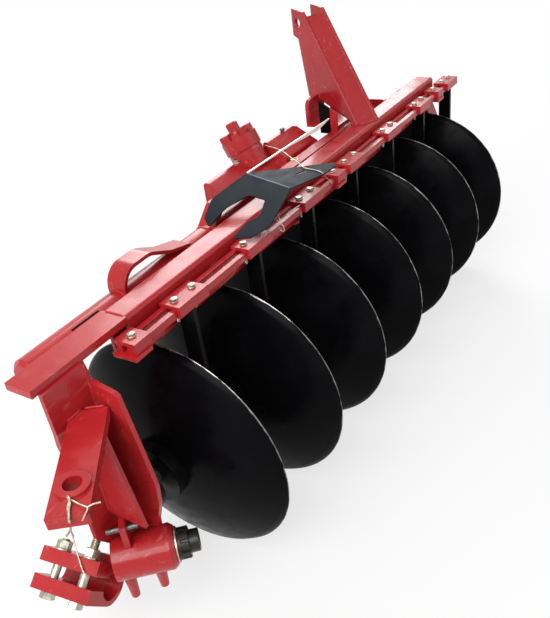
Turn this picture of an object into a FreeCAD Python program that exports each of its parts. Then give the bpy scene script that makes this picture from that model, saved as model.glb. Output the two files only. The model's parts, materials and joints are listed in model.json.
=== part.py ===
"""Mounted, shaft-driven disc plough: seven concave discs on one gang shaft under a diagonal beam.

Axes: +X runs along the gang shaft, from the tail end to the front end of the gang, +Y points to
the tractor's side, +Z up.  The origin is on the floor, under the middle of the machine's box.
Lengths are in millimetres and stand once in the sheet Sizes.  A place is measured from the centre
of the tail-end disc's rim; gang_x, gang_y and gang_z carry that point to the origin's frame.
"""
import FreeCAD, Part
import os
import re
from math import cos, hypot, radians, sin, sqrt
from types import SimpleNamespace

V = FreeCAD.Vector
Turn = FreeCAD.Rotation
doc = FreeCAD.newDocument("DiscPlough")

# ------------------------------------------------------------------------------ driving sizes
SIZES = {
    # how far the whole machine reaches from the centre of the tail-end disc's rim
    "reach_tail": 444.7, "reach_front": 1601, "reach_rear": 280, "reach_fore": 545,
    # discs, gang shaft and the spools between the discs
    "disc_dia": 560, "disc_pitch": 245, "disc_thick": 6, "dish_ball": 600, "disc_flat": 80,
    "edge_bevel": 9, "shaft_dia": 50, "spool_dia": 96, "flange_dia": 142, "flange_thick": 10,
    "bearing_dia": 120, "bearing_long": 64, "run_gap": 0.05, "weld_gap": 0.2, "free_gap": 8,
    # main beam and the thick nose plate on its tail end
    "beam_top": 400, "beam_rear": -28, "beam_wide": 63, "beam_deep": 100, "beam_wall": 8, "beam_round": 9,
    "beam_start": -77, "beam_end": 1472, "nose_start": -312, "nose_thick": 15, "cap_thick": 6,
    # front tube, which also houses the cross shaft
    "tube_dia": 74, "tube_wall": 8, "tube_y": 81, "tube_z": 345, "tube_start": -239,
    "tube_stop": 1235, "stop_thick": 12, "stop_top": 394, "hoop_start": 10,
    # drive tube, lower, from the front tube's end plate to the side drive
    "drive_dia": 60, "drive_z": 310, "drive_thick": 62, "drive_lead": 42,
    # scraper rails, their brackets, clamps and scrapers
    "rail_wide": 13, "rail_deep": 16, "rail_top": 372, "rail_inner": -35, "rail_gap": 13,
    "rail_start": -123, "rail_end": 1562, "clamp_thick": 8, "clamp_long": 93, "clamp_lead": 7,
    "clamp_drop": 24, "clamp_inner": -31, "strap_long": 45, "bracket_long": 46,
    "bracket_thick": 8, "bracket_outer": -86, "scraper_wide": 40, "scraper_thick": 10, "scraper_lead": 50,
    "scraper_low": 150, "blade_low": 60,
    # tail-end leg under the nose plate
    "leg_start": -298, "leg_face": -204, "leg_thick": 10, "leg_y": -34, "leg_low": -60,
    # horizontal tail arm with its upright bore
    "arm_top": 305, "arm_thick": 20, "arm_long": 245, "arm_wide": 67, "arm_bore": 32,
    "arm_x": -229, "arm_y": -46, "arm_turn": 36.5, "arm_bore_back": 64, "boss_dia": 58,
    "boss_high": 5,
    # tail-wheel hub housing and hub
    "hub_x": -199, "hub_y": -130, "hub_z": -44, "hub_turn": 47, "housing_dia": 92,
    "housing_long": 122, "seal_thick": 5, "hub_dia": 64, "hub_long": 22, "stub_dia": 40,
    "foot_long": 74,
    # slit clamp for the tail wheel's shank
    "jaw_x": -315.3, "jaw_y": -57.1, "jaw_z": -80, "jaw_turn": 8.5, "jaw_roll": 34.5,
    "jaw_start": 14, "jaw_long": 136, "jaw_half": 40, "jaw_near": 54, "bore_aside": -16,
    "jaw_gap": 25, "jaw_bore": 58, "jaw_bolt": 18, "bolt_near": 45, "bolt_far": 113,
    "bolt_aside": 41,
    # gearbox on the front tube, with its upright-leaning input housing
    "case_start": 494, "case_end": 945, "case_rear": 108, "case_wide": 109, "case_top": 400,
    "case_deep": 128, "case_slope": 52, "input_x": 690, "input_y": 204, "input_z": 400,
    "input_dia": 104, "input_rise": 64, "input_swing": 0, "input_shaft": 35,
    # mast over the beam, in the plane of travel
    "travel_turn": 26, "mast_lead": 31, "mast_y": 10, "mast_wide": 80, "mast_thick": 10,
    "mast_bore": 26, "prop_top": 446,
    # bent guard sheet over the beam
    "guard_x": 456, "guard_y": 47, "guard_top": 460, "guard_thick": 3, "guard_turn": 17.8,
    "guard_fall": 18.7,
    # lower hitch and parking stand
    "hitch_pin": 28, "hitch_spread": 825, "hitch_z": 10, "hitch_fore": 822, "hitch_mid": 922, "ball_room": 45,
    "pin_collar": 40, "pin_free": 39, "collar_long": 24, "arm_plate": 16,
    "stand_wide": 50, "stand_travel": 200,
}
DERIVED = {
    "gang_x": "(reach_tail - reach_front) / 2",
    "gang_y": "(reach_rear - reach_fore) / 2",
    "gang_z": "disc_dia / 2",
    "flat_x": "sqrt(dish_ball ^ 2 - (disc_dia / 2) ^ 2) - sqrt(dish_ball ^ 2 - disc_flat ^ 2)",
    "beam_low": "beam_top - beam_deep",
    "rail_low": "rail_top - rail_deep",
    "rail_outer": "rail_inner - 2 * rail_wide - rail_gap",
    "front_pin_x": "hitch_fore * sin(travel_turn * 1 deg)"
                   " + (hitch_mid + hitch_spread / 2) * cos(travel_turn * 1 deg)",
    "front_arm": "front_pin_x - collar_long - pin_free",
    "tube_end": "front_arm + drive_lead",
    "mast_x": "case_end + mast_lead",
    "rail_mid": "rail_inner - rail_wide - rail_gap / 2",
}
DISCS = 7

sheet = doc.addObject("Spreadsheet::Sheet", "Sizes")
for row, (word, value) in enumerate((SIZES | DERIVED).items(), start=1):
    sheet.set(f"A{row}", word)
    sheet.set(f"B{row}", f"={value}" if word in DERIVED else str(value))
    sheet.setAlias(f"B{row}", word)
doc.recompute()
WORDS = list(SIZES) + list(DERIVED)
s = SimpleNamespace(**{word: float(getattr(sheet, word)) for word in WORDS})
NODES = []


# ------------------------------------------------------------------------------ small helpers
def linked(formula):
    """A formula in the sheet's words, as an expression that an object can hold."""
    return re.sub(r"[a-z]\w*", lambda m: f"Sizes.{m[0]}" if m[0] in WORDS else m[0], str(formula))


def bind(thing, **formulas):
    for prop, formula in formulas.items():
        thing.setExpression(prop, linked(formula))
    return thing


def put(thing, x, y, z, gang=True):
    """Bind a place: from the tail-end disc's centre, or from the thing's own local origin."""
    for axis, formula in zip("xyz", (x, y, z)):
        start = f"gang_{axis} + " if gang else ""
        thing.setExpression(f"Placement.Base.{axis}", linked(f"{start}{formula}"))
    return thing


def box(x, y, z, long, wide, high, gang=True):
    """A block from its low corner."""
    thing = bind(doc.addObject("Part::Box", "Block"), Length=long, Width=wide, Height=high)
    return put(thing, x, y, z, gang)


AXES = {"x": Turn(V(0, 1, 0), 90), "y": Turn(V(1, 0, 0), -90), "z": Turn()}


def rod(along, x, y, z, radius, long, gang=True):
    """A round bar that starts at its place and runs along +X, +Y or +Z."""
    thing = bind(doc.addObject("Part::Cylinder", "Rod"), Radius=radius, Height=long)
    thing.Placement = FreeCAD.Placement(V(), AXES[along])
    return put(thing, x, y, z, gang)


def cone(along, x, y, z, radius, radius_end, long, gang=True):
    thing = bind(doc.addObject("Part::Cone", "Cone"), Radius1=radius, Radius2=radius_end, Height=long)
    thing.Placement = FreeCAD.Placement(V(), AXES[along])
    return put(thing, x, y, z, gang)


def fused(things):
    if len(things) == 1:
        return things[0]
    whole = doc.addObject("Part::MultiFuse", "Fused")
    whole.Shapes = things
    return whole


def cut(things, holes):
    whole = doc.addObject("Part::Cut", "Cut")
    whole.Base, whole.Tool = fused(things), fused(holes)
    return whole


def corners(points):
    """Edges of a closed outline; a point (x, y, r) is rounded with the radius r."""
    ends = []
    for i, point in enumerate(points):
        here = V(point[0], point[1], 0)
        if len(point) < 3:
            ends.append((here, None, here))
            continue
        back = (V(*points[i - 1][:2], 0) - here).normalize()
        on = (V(*points[(i + 1) % len(points)][:2], 0) - here).normalize()
        half = back.getAngle(on) / 2
        reach = point[2] * cos(half) / sin(half)
        middle = here + (back + on).normalize() * (point[2] / sin(half) - point[2])
        ends.append((here + back * reach, middle, here + on * reach))
    edges = []
    for (start, middle, end), (next_start, _, _) in zip(ends, ends[1:] + ends[:1]):
        if middle is not None:
            edges.append(Part.Arc(start, middle, end))
        if (next_start - end).Length > 1e-6:
            edges.append(Part.LineSegment(end, next_start))
    return edges


PLANES = {
    "xy": Turn(),
    "xz": Turn(V(1, 0, 0), 90),
    "yz": Turn(V(0, 1, 0), V(0, 0, 1), V(1, 0, 0), "ZXY"),
}


def plate(plane, x, y, z, points, thick, holes=(), gang=True, turn=None):
    """A plate of any outline: drawn in a plane at a place and raised along the plane's normal."""
    sketch = doc.addObject("Sketcher::SketchObject", "Outline")
    sketch.addGeometry(corners(points), False)
    for cx, cy, radius in holes:
        sketch.addGeometry(Part.Circle(V(cx, cy, 0), V(0, 0, 1), radius), False)
    rotation = PLANES[plane] if turn is None else turn.multiply(PLANES[plane])
    sketch.Placement = FreeCAD.Placement(V(), rotation)
    put(sketch, x, y, z, gang)
    raised = doc.addObject("Part::Extrusion", "Plate")
    raised.Base, raised.Solid, raised.DirMode = sketch, True, "Normal"
    return bind(raised, LengthFwd=thick)


def node(label, *things):
    """Name a finished piece; several things become one node of solids that don't touch."""
    if len(things) == 1:
        whole = things[0]
    else:
        whole = doc.addObject("Part::Compound", "Group")
        whole.Links = list(things)
    whole.Label = label
    NODES.append(whole)
    return whole


def placed(things, x, y, z, rotation):
    """Carry things built about their own local origin to their place, turned."""
    whole = doc.addObject("Part::Compound", "Placed")
    whole.Links = list(things)
    whole.Placement = FreeCAD.Placement(V(), rotation)
    return put(whole, x, y, z)


def carried(label, things, x, y, z, rotation):
    return node(label, placed(things, x, y, z, rotation))


# ------------------------------------------------------------------------------ main beam
def main_beam():
    def section(rear, low, wide, deep, r):
        return [(rear, low, r), (rear + wide, low, r), (rear + wide, low + deep, r), (rear, low + deep, r)]

    wall = s.beam_wall
    outer = section(s.beam_rear, s.beam_low, s.beam_wide, s.beam_deep, s.beam_round)
    inner = section(s.beam_rear + wall, s.beam_low + wall, s.beam_wide - 2 * wall,
                    s.beam_deep - 2 * wall, 2)
    long = "beam_end - beam_start"
    node("main_beam", cut([plate("yz", "beam_start", 0, 0, outer, long)],
                          [plate("yz", "beam_start", 0, 0, inner, long)]))
    node("beam_end_cap", plate("yz", "beam_end", 0, 0, outer, "cap_thick"))
    node("nose_plate", box("nose_start", "beam_rear", "beam_top - nose_thick",
                           "beam_start - nose_start", "beam_wide", "nose_thick"))


def front_tube():
    long = "tube_stop - tube_start"
    node("front_tube", cut(
        [rod("x", "tube_start", "tube_y", "tube_z", "tube_dia / 2", long)],
        [rod("x", "tube_start", "tube_y", "tube_z", "tube_dia / 2 - tube_wall", long)]))
    node("front_tube_cap", cone("x", "tube_start - 8", "tube_y", "tube_z",
                                "tube_dia / 2 - 8", "tube_dia / 2", 8))
    ties = [box(f"{x}", "beam_rear + beam_wide", "tube_z - 30", 12,
                "tube_y - beam_rear - beam_wide - tube_dia / 2 + 12", 60) for x in (30, 400, 980)]
    low_tie = box(1420, "beam_rear + beam_wide", "beam_low + 2", 12,
                  "tube_y - beam_rear - beam_wide - drive_dia / 2 + 10", 36)
    tube = rod("x", "tube_start", "tube_y", "tube_z", "tube_dia / 2", long)
    drive = rod("x", "tube_stop + stop_thick", "tube_y", "drive_z", "drive_dia / 2",
                "tube_end - tube_stop - stop_thick")
    node("tube_ties", cut(ties + [low_tie], [tube, drive]))
    node("tube_end_plate", box("tube_stop", "beam_rear + beam_wide + 5", "drive_z - drive_dia / 2 - 6",
                               "stop_thick", "tube_y + tube_dia / 2 - 12 - beam_rear - beam_wide - 5",
                               "stop_top - drive_z + drive_dia / 2 + 6"))
    node("drive_tube", drive)


# ------------------------------------------------------------------------------ scraper rails
def scraper_rails():
    bars = [box("rail_start", f"rail_inner - rail_wide - {k} * (rail_wide + rail_gap)", "rail_low",
                "rail_end - rail_start", "rail_wide", "rail_deep") for k in (0, 1)]
    node("scraper_rails", *bars)
    plates = [box(x, "bracket_outer", "rail_low - bracket_thick",
                  "bracket_long", "beam_rear - bracket_outer", "bracket_thick")
              for x in ("rail_start - 8", "661", "1380")]
    node("rail_brackets", *plates)
    straps = [channel_clamp(x, "strap_long") for x in ("rail_start", "669", "1388")]
    node("rail_straps", *straps)
    clamps = [channel_clamp(f"clamp_lead + {k} * disc_pitch", "clamp_long") for k in range(DISCS)]
    node("scraper_clamps", *clamps)


def channel_clamp(x, long):
    """A flat strap over both rails with its rear edge turned down."""
    wide = "clamp_inner - rail_outer + clamp_thick"
    top = box(x, "rail_outer - clamp_thick", "rail_top", long, wide, "clamp_thick")
    lip = box(x, "rail_outer - clamp_thick", "rail_top + clamp_thick - clamp_drop",
              long, "clamp_thick", "clamp_drop - clamp_thick")
    return fused([top, lip])


def scrapers():
    """A flat bar hangs from each clamp and ends in a blade close to the disc's hollow side."""
    bars = []
    for k in range(DISCS):
        x = f"scraper_lead + {k} * disc_pitch"
        outline = [(0, s.rail_low), (s.scraper_thick, s.rail_low), (s.scraper_thick, s.scraper_low),
                   (s.scraper_thick - 52, s.blade_low), (-52, s.blade_low), (0, s.scraper_low)]
        bars.append(plate("xz", x, "rail_mid + scraper_wide / 2", 0, outline, "scraper_wide"))
    node("scrapers", *bars)


# ------------------------------------------------------------------------------ gang
def disc(k):
    """A concave disc: a flat centre, a spherical dish open to +X and a bevelled cutting edge."""
    centre = sqrt(s.dish_ball ** 2 - (s.disc_dia / 2) ** 2)

    def hollow(r):
        return centre - sqrt(s.dish_ball ** 2 - r ** 2)

    rim, inner, bevel = s.disc_dia / 2, s.disc_flat, s.disc_dia / 2 - s.edge_bevel
    mid = (rim + inner) / 2
    back = (bevel + inner) / 2
    bore = s.shaft_dia / 2
    x0, thick = hollow(inner), s.disc_thick
    edges = [
        Part.LineSegment(V(x0, bore, 0), V(x0, inner, 0)),
        Part.Arc(V(x0, inner, 0), V(hollow(mid), mid, 0), V(0, rim, 0)),
        Part.LineSegment(V(0, rim, 0), V(hollow(bevel) - thick, bevel, 0)),
        Part.Arc(V(hollow(bevel) - thick, bevel, 0), V(hollow(back) - thick, back, 0),
                 V(x0 - thick, inner, 0)),
        Part.LineSegment(V(x0 - thick, inner, 0), V(x0 - thick, bore, 0)),
        Part.LineSegment(V(x0 - thick, bore, 0), V(x0, bore, 0)),
    ]
    body = doc.addObject("PartDesign::Body", "Disc")
    sketch = body.newObject("Sketcher::SketchObject", "Section")
    plane = next(f for f in body.Origin.OriginFeatures if f.Role == "XY_Plane")
    sketch.AttachmentSupport, sketch.MapMode = (plane, ""), "FlatFace"
    sketch.addGeometry(edges, False)
    turned = body.newObject("PartDesign::Revolution", "Dish")
    turned.Profile, turned.ReferenceAxis, turned.Angle = sketch, (sketch, ["H_Axis"]), 360
    body.Tip = turned
    put(body, f"{k} * disc_pitch", 0, 0)
    node(f"disc_{k + 1}", body)


def spool(x, long):
    """A spacer tube with a flange at each end, bored for the shaft."""
    parts = [rod("x", x, 0, 0, "flange_dia / 2", "flange_thick"),
             rod("x", x, 0, 0, "spool_dia / 2", long),
             rod("x", f"{x} + {long} - flange_thick", 0, 0, "flange_dia / 2", "flange_thick")]
    return cut(parts, [rod("x", x, 0, 0, "shaft_dia / 2", long)])


def gang():
    for k in range(DISCS):
        disc(k)
    node("spools", *[spool(f"flat_x + {k} * disc_pitch", "disc_pitch - disc_thick")
                     for k in range(DISCS - 1)])
    node("end_collars",
         cut([rod("x", "flat_x - disc_thick - 30", 0, 0, "flange_dia / 2", 30)],
             [rod("x", "flat_x - disc_thick - 30", 0, 0, "shaft_dia / 2", 30)]),
         cut([rod("x", f"flat_x + {DISCS - 1} * disc_pitch", 0, 0, "spool_dia / 2", "58")],
             [rod("x", f"flat_x + {DISCS - 1} * disc_pitch", 0, 0, "shaft_dia / 2", "58")]))
    node("gang_shaft", rod("x", "leg_face + leg_thick + 4", 0, 0, "shaft_dia / 2",
                           "tube_end + drive_thick - 8 - leg_face - leg_thick"))


def side_drive():
    """The drive case at the front end of the gang, from the tube down to the shaft."""
    top_y, top_z = s.tube_y, s.drive_z
    lean = hypot(top_y, top_z)
    ny, nz = top_z / lean, -top_y / lean
    r_low, r_top = 88, 46
    outline = [(-r_low * ny, -r_low * nz, 40), (-r_low * top_y / lean, -r_low * top_z / lean, 60),
               (r_low * ny, r_low * nz, 40),
               (top_y + r_top * ny, top_z + r_top * nz, 30),
               (top_y + 34 * top_y / lean, top_z + 34 * top_z / lean, 30),
               (top_y - r_top * ny, top_z - r_top * nz, 30)]
    whole = plate("yz", "tube_end", 0, 0, outline, "drive_thick")
    bore = rod("x", "tube_end", 0, 0, "shaft_dia / 2 + run_gap", "drive_thick")
    node("side_drive_case", cut([whole], [bore]))


# ------------------------------------------------------------------------------ tail-end leg
def housing_room():
    """Room for the tail wheel's housing, and free room for the hub that turns before it."""
    frame = Turn(V(0, 0, 1), -s.hub_turn)
    seat = cone("x", "-housing_long - weld_gap", 0, 0, "housing_dia / 2 - 3 + weld_gap",
                "housing_dia / 2 + weld_gap", "housing_long + 2 * weld_gap", gang=False)
    free = rod("x", 0, 0, 0, "housing_dia / 2 + free_gap", 90, gang=False)
    return placed([fused([seat, free])], "hub_x", "hub_y", "hub_z", frame)


def tail_leg():
    """A web in the beam's line and a bearing plate across it."""
    low = s.leg_low
    web = [(s.leg_start, 27), (s.leg_start, s.beam_top - s.nose_thick),
           (s.leg_face, s.beam_top - s.nose_thick), (s.leg_face, low), (-240, low, 12)]
    node("leg_web", cut([plate("xz", 0, "leg_y + leg_thick", 0, web, "leg_thick")], [housing_room()]))
    face = [(-96, 332, 12), (-122, 167), (-128, 120, 20), (-122, 70, 20), (-104, 17), (-96, low, 12),
            (110, low, 40), (140, 120, 40), (118, 300), (118, 345), (40, 372),
            (35, 385), (-24, 385), (-34, 345)]
    whole = plate("yz", "leg_face", 0, 0, face, "leg_thick")
    tube = rod("x", "leg_face", "tube_y", "tube_z", "tube_dia / 2 + weld_gap", "leg_thick")
    node("bearing_plate", cut([whole], [tube, housing_room()]))
    behind, under = s.leg_y - s.weld_gap, s.arm_top - s.arm_thick - s.weld_gap
    node("leg_rib", plate("yz", "leg_face - 48", 0, 0,
                          [(behind, 58), (behind, under), (-90, under), (-126, 58)], 8))
    reach = "leg_face + leg_thick"
    bore = rod("x", reach, 0, 0, "shaft_dia / 2 + run_gap", "bearing_long")
    node("tail_bearing", cut([rod("x", reach, 0, 0, "bearing_dia / 2", "bearing_long"),
                              rod("x", reach, 0, 0, "bearing_dia / 2 + 18", 14)], [bore]))


def tail_arm():
    """A thick horizontal arm with a bored boss for the tail wheel's upright pivot."""
    arm = plate("xy", 0, 0, "-arm_thick", [(0, -s.arm_wide / 2), (s.arm_long, -s.arm_wide / 2, 3),
                                         (s.arm_long, s.arm_wide / 2, 3), (0, s.arm_wide / 2)],
                "arm_thick", gang=False)
    boss = rod("z", "arm_long - arm_bore_back", 0, 0, "boss_dia / 2", "boss_high", gang=False)
    bore = rod("z", "arm_long - arm_bore_back", 0, "-arm_thick", "arm_bore / 2",
               "arm_thick + boss_high", gang=False)
    whole = placed([cut([arm, boss], [bore])], "arm_x", "arm_y", "arm_top",
                   Turn(V(0, 0, 1), 180 + s.arm_turn))
    beyond = box("leg_start", "leg_y - weld_gap", "arm_top - arm_thick - 1",
                 "leg_face - leg_start", "2 * arm_wide", "arm_thick + boss_high + 2")
    node("tail_arm", cut([whole], [beyond]))


def tail_hub():
    """Housing, seal ring and the dark hub that the tail wheel bolts to; the wheel is not fitted."""
    frame = Turn(V(0, 0, 1), -s.hub_turn)
    body = cone("x", "-housing_long", 0, 0, "housing_dia / 2 - 3", "housing_dia / 2 - 0.3",
                "housing_long - 9", gang=False)
    collar = cone("x", -9, 0, 0, "housing_dia / 2 - 0.3", "hub_dia / 2 + 7", 9, gang=False)
    bore = rod("x", "-60", 0, 0, "stub_dia / 2 + run_gap", 60, gang=False)
    feet = [cone("z", x, -8, f"14 - housing_dia / 2 - {long}", 9, 13, long, gang=False)
            for x, long in ((-104, "foot_long"), (-42, "(foot_long - 10)"))]
    lug = cut([box(-92, -18, 20, 12, 36, 78, gang=False)],
              [rod("x", -92, 0, 79, 6 + s.weld_gap, 12, gang=False)])
    carried("hub_housing", [cut([body, collar] + feet + [lug], [bore])], "hub_x", "hub_y", "hub_z", frame)
    carried("tail_pin", [rod("x", -120, 0, 79, 6, 62, gang=False)], "hub_x", "hub_y", "hub_z", frame)
    ring = cut([rod("x", 0, 0, 0, "hub_dia / 2 + 2", "seal_thick", gang=False)],
               [rod("x", 0, 0, 0, "stub_dia / 2 + 2", "seal_thick", gang=False)])
    carried("hub_seal", [ring], "hub_x", "hub_y", "hub_z", frame)
    hub = fused([rod("x", "seal_thick + 1", 0, 0, "hub_dia / 2", "hub_long", gang=False),
                 rod("x", "-50", 0, 0, "stub_dia / 2", "hub_long + 60", gang=False),
                 rod("x", "seal_thick + hub_long", 0, 0, "hub_dia / 2 - 9", 20, gang=False)])
    carried("tail_hub", [hub], "hub_x", "hub_y", "hub_z", frame)


def slit_clamp():
    """A block bored for the wheel's shank and slit to the bore, drawn together by two long bolts."""
    along = V(-sin(radians(s.jaw_turn)), cos(radians(s.jaw_turn)), 0)
    across = V(0, 0, 1).cross(along)
    roll = radians(s.jaw_roll)
    up = across * -cos(roll) + V(0, 0, 1) * sin(roll)
    frame = Turn(along, up.cross(along), up, "ZXY")
    block = box("jaw_start", "bore_aside", "-jaw_half", "jaw_long", "jaw_near - bore_aside",
                "2 * jaw_half", gang=False)
    back = rod("x", "jaw_start", "bore_aside", 0, "jaw_half", "jaw_long", gang=False)
    saddle = box("jaw_start", "bore_aside - 24", "jaw_half - 12", 40, 44, 26, gang=False)
    bore = rod("x", "jaw_start - 1", "bore_aside", 0, "jaw_bore / 2", "jaw_long + 2", gang=False)
    slit = box("jaw_start - 1", "bore_aside", "-jaw_gap / 2", "jaw_long + 2",
               "jaw_near - bore_aside + 1", "jaw_gap", gang=False)
    holes = [rod("z", x, "bolt_aside", -80, "jaw_bolt / 2 + weld_gap", 160, gang=False)
             for x in ("bolt_near", "bolt_far")]
    whole = placed([cut([block, back, saddle], [bore, slit] + holes)], "jaw_x", "jaw_y", "jaw_z", frame)
    node("slit_clamp", cut([whole], [housing_room()]))
    bolts = []
    for x, proud in (("bolt_near", 38), ("bolt_far", 22)):
        shank = rod("z", x, "bolt_aside", "-jaw_half - 13", "jaw_bolt / 2",
                    f"2 * jaw_half + 13 + {proud}", gang=False)
        nut = rod("z", x, "bolt_aside", "jaw_half", "jaw_bolt * 0.8", 20, gang=False)
        head = rod("z", x, "bolt_aside", "-jaw_half - 15", "jaw_bolt * 0.8", 15, gang=False)
        bolts.append(fused([shank, nut, head]))
    carried("clamp_bolts", bolts, "jaw_x", "jaw_y", "jaw_z", frame)


# ------------------------------------------------------------------------------ hoops and gearbox
def guard_under(x, y):
    """Height of the underside of the guard's lobes over a place in plan."""
    turn, fall = radians(s.guard_turn), radians(s.guard_fall)
    away = (s.guard_x - x) * cos(turn) + (y - s.guard_y) * sin(turn)
    return s.guard_top - s.guard_thick / cos(fall) - away * sin(fall) / cos(fall)


def hoops():
    """Two flat bars bent into handles, seated on the front tube; a post on one carries the guard."""
    rise = s.tube_z + s.tube_dia / 2
    tail = [(0, rise - 14), (0, rise + 46, 45), (92, rise + 47, 60), (153, rise + 20, 40),
            (216, rise + 5), (216, rise), (202, rise), (151, rise + 12, 32), (90, rise + 39, 50),
            (8, rise + 38, 37), (8, rise - 14)]
    front = [(-5, rise - 13), (50, rise + 36, 20), (207, rise + 36, 30), (207, rise), (199, rise),
             (199, rise + 28, 22), (54, rise + 28, 14), (7, rise - 13)]
    tube = rod("x", "tube_start", "tube_y", "tube_z", "tube_dia / 2", "tube_stop - tube_start")
    handles = [cut([plate("xz", x, "tube_y + 24", 0, outline, 48)], [tube])
               for x, outline in (("hoop_start", tail), ("hoop_start + 301", front))]
    x, y = s.hoop_start + 366, s.tube_y - 6
    post = rod("z", x, y, rise + 30, 7, guard_under(x - 7, y + 2) - rise - 30.3)
    node("tube_hoops", handles[0], fused([handles[1], post]))


def input_lug(angle):
    """A cast lug beside the collar, at an angle about the input axis."""
    lug = doc.addObject("Part::Compound", "Lug")
    lug.Links = [box(55, "-9", "input_dia / 2 - 20", 22, 18, 16, gang=False)]
    lug.Placement = FreeCAD.Placement(V(), Turn(V(1, 0, 0), angle))
    return lug


def gearbox():
    rear, fore = s.case_rear, s.case_rear + s.case_wide
    top, low, slope = s.case_top, s.case_top - s.case_deep, s.case_slope
    section = [(rear, low, 6), (fore, low, 20), (fore, top, 10), (fore - 18, top, 14),
               (rear, top - slope, 12)]
    cover = [(rear + 2, top - slope - 6), (rear + 74, top - slope + 40), (rear + 74, top + 24, 6),
             (rear + 60, top + 24, 10), (rear + 2, top - 16, 12)]
    cast = [plate("yz", "case_start", 0, 0, section, "case_end - case_start"),
            plate("yz", "case_start + 242", 0, 0, cover, 144)]
    tube = rod("x", "case_start", "tube_y", "tube_z", "tube_dia / 2 + weld_gap", "case_end - case_start")
    node("gearbox_case", cut(cast, [tube]))
    rise, swing = radians(s.input_rise), radians(s.input_swing)
    out = V(sin(swing) * cos(rise), cos(swing) * cos(rise), sin(rise))
    side = V(0, 0, 1).cross(out).normalize()
    frame = Turn(out, side, out.cross(side), "ZXY")
    grown = [(rear - 1, low - s.weld_gap), (fore + s.weld_gap, low - s.weld_gap),
             (fore + s.weld_gap, top + s.weld_gap), (fore - 18, top + s.weld_gap),
             (rear - 1, top - slope + s.weld_gap)]
    case = plate("yz", "case_start", 0, 0, grown, "case_end - case_start")
    neck = fused([rod("x", -30, 0, 0, "input_dia / 2 - 4", 52, gang=False),
                  rod("x", 22, 0, 0, "input_dia / 2", 36, gang=False),
                  rod("x", 58, 0, 0, "input_dia / 2 - 14", 12, gang=False)]
                 + [input_lug(k * 60 + 30) for k in range(6)])
    journal = "input_shaft / 2 + 4"
    bore = rod("x", 20, 0, 0, f"{journal} + run_gap", 80, gang=False)
    housing = placed([cut([neck], [bore])], "input_x", "input_y", "input_z", frame)
    node("input_housing", cut([housing], [case]))
    shaft = fused([rod("x", 22, 0, 0, journal, 54, gang=False),
                   rod("x", 70, 0, 0, "input_shaft / 2", 32, gang=False)])
    carried("input_shaft", [shaft], "input_x", "input_y", "input_z", frame)


# ------------------------------------------------------------------------------ mast
def mast():
    """Two side plates in the plane of travel, joined by a web, leaning towards the tractor."""
    turn = Turn(V(0, 0, 1), 90 - s.travel_turn)
    foot = s.beam_top
    side = [(0, foot), (236, 692), (292, 699, 5), (292, 623), (267, 614), (237, s.prop_top, 4),
            (178, s.prop_top), (40, foot + 10), (30, foot)]
    sides = [plate("xz", 0, shift, 0, side, "mast_thick", holes=[(264, 660, s.mast_bore / 2)],
                   gang=False) for shift in ("0", "mast_thick - mast_wide")]
    carried("mast_sides", sides, "mast_x", "mast_y", 0, turn)
    web = plate("xz", 0, "-mast_thick", 0, [(0, foot), (226, 680), (238, 676), (14, foot)],
                "mast_wide - 2 * mast_thick", gang=False)
    carried("mast_web", [web], "mast_x", "mast_y", 0, turn)


def mast_support():
    """Two upright plates on the front tube, a cover between beam and gearbox, and a far lug."""
    seat, top = s.tube_z + s.tube_dia / 2 + 8, s.prop_top
    tail = [(0, seat), (98, seat), (98, top), (66, top), (66, 462), (0, 462, 22)]
    front = [(154, seat), (220, seat), (220, top), (154, top)]
    node("mast_props", *[plate("xz", "mast_x + 12", 187, 0, outline, 12) for outline in (tail, front)],
         box("mast_x + 12", "tube_y", "tube_z + tube_dia / 2", 220, "187 - tube_y", 8))
    near, crown = s.beam_rear + s.beam_wide, s.tube_z + s.tube_dia / 2
    fall = [(near, s.beam_top), (s.tube_y, crown + 8), (s.tube_y, crown), (near, s.beam_top - 8)]
    node("cover_plate", plate("yz", "case_start + 66", 0, 0, fall, "case_end - case_start - 66"))


def guard():
    """A bent sheet that straddles the beam with two lobes, and a narrow sheet on edge beside it."""
    turn = Turn(V(0, 0, 1), -s.guard_turn)
    fall = turn.multiply(Turn(V(0, 1, 0), -s.guard_fall))
    flat = [(0, 0), (62, -53), (163, -136, 6), (148, -152, 10), (100, -164), (0, -161)]
    lobes = [(0, 0), (0, -161), (-112, -206, 30), (-158, -190, 12), (-178, -150, 6), (-128, -142, 12),
             (-98, -156, 16), (-54, -128, 14), (-56, -72, 16), (-112, -48, 20), (-176, -60, 6),
             (-160, -22, 30), (-104, 16, 24)]
    slot = box(60, -115, "-guard_thick - 1", 34, 7, "guard_thick + 2", gang=False)
    sheets = [plate("xy", 0, 0, "-guard_thick", outline, "guard_thick", gang=False)
              for outline in (flat, lobes)]
    sheets[0] = cut([sheets[0]], [slot])
    whole = [placed([sheet_metal], "guard_x", "guard_y", "guard_top", rotation)
             for sheet_metal, rotation in zip(sheets, (turn, fall))]
    node("guard_sheet", fused(whole))
    edge = [(0, s.guard_top - 7), (200, s.guard_top - 8), (345, s.guard_top - 13),
            (402, s.guard_top - 3), (402, s.guard_top), (0, s.guard_top)]
    strip = plate("xz", 0, 0, 0, edge, 5, gang=False)
    carried("side_sheet", [strip], "guard_x + 3", "guard_y + 1.6", 0, Turn(V(0, 0, 1), -1.3))


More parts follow.
